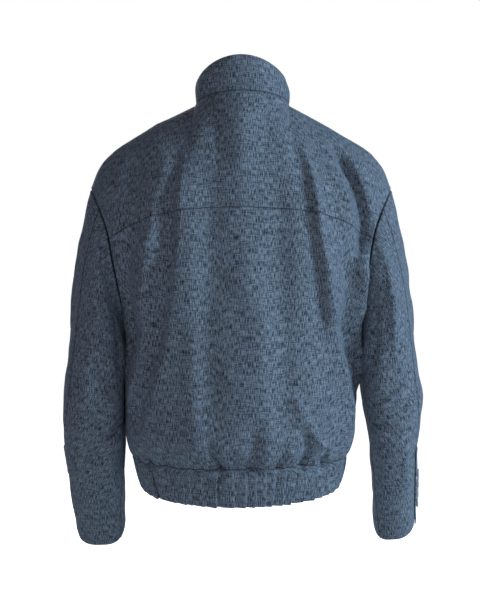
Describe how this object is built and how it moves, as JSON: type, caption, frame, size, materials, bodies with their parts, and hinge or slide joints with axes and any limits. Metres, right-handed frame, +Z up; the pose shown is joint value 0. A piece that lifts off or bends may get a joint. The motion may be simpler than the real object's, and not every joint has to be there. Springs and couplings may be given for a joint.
{
  "type": "blouson jacket",
  "caption": "Hollow worn-form blouson jacket with stand collar, back yoke, two-piece sleeves, fly front and gathered hem band.",
  "frame": {"origin": "middle of the neck opening, level with the top of the shoulders, where the wearer's neck and shoulders hold the jacket", "axes": "+Z up; the front faces -Y and the back faces +Y; the wearer's left side is at +X"},
  "size_m": [0.5375, 0.2693, 0.7269],
  "materials": {
    "wool": "slate blue-grey melange plain weave",
    "button": "pale, softly polished"
  },
  "bodies": {
    "root": {"back_yoke": "wool", "back": "wool", "front_left": "wool", "front_right": "wool", "front_placket": "wool", "collar": "wool", "hem_band_back": "wool", "hem_band_left": "wool", "hem_band_right": "wool", "upper_sleeve_left": "wool", "under_sleeve_left": "wool", "vent_left": "wool", "upper_sleeve_right": "wool", "under_sleeve_right": "wool", "vent_right": "wool", "cuff_button_left_1": "button", "cuff_button_left_2": "button", "cuff_button_left_3": "button", "cuff_button_left_4": "button", "cuff_button_right_1": "button", "cuff_button_right_2": "button", "cuff_button_right_3": "button", "cuff_button_right_4": "button"}
  },
  "joints": []
}
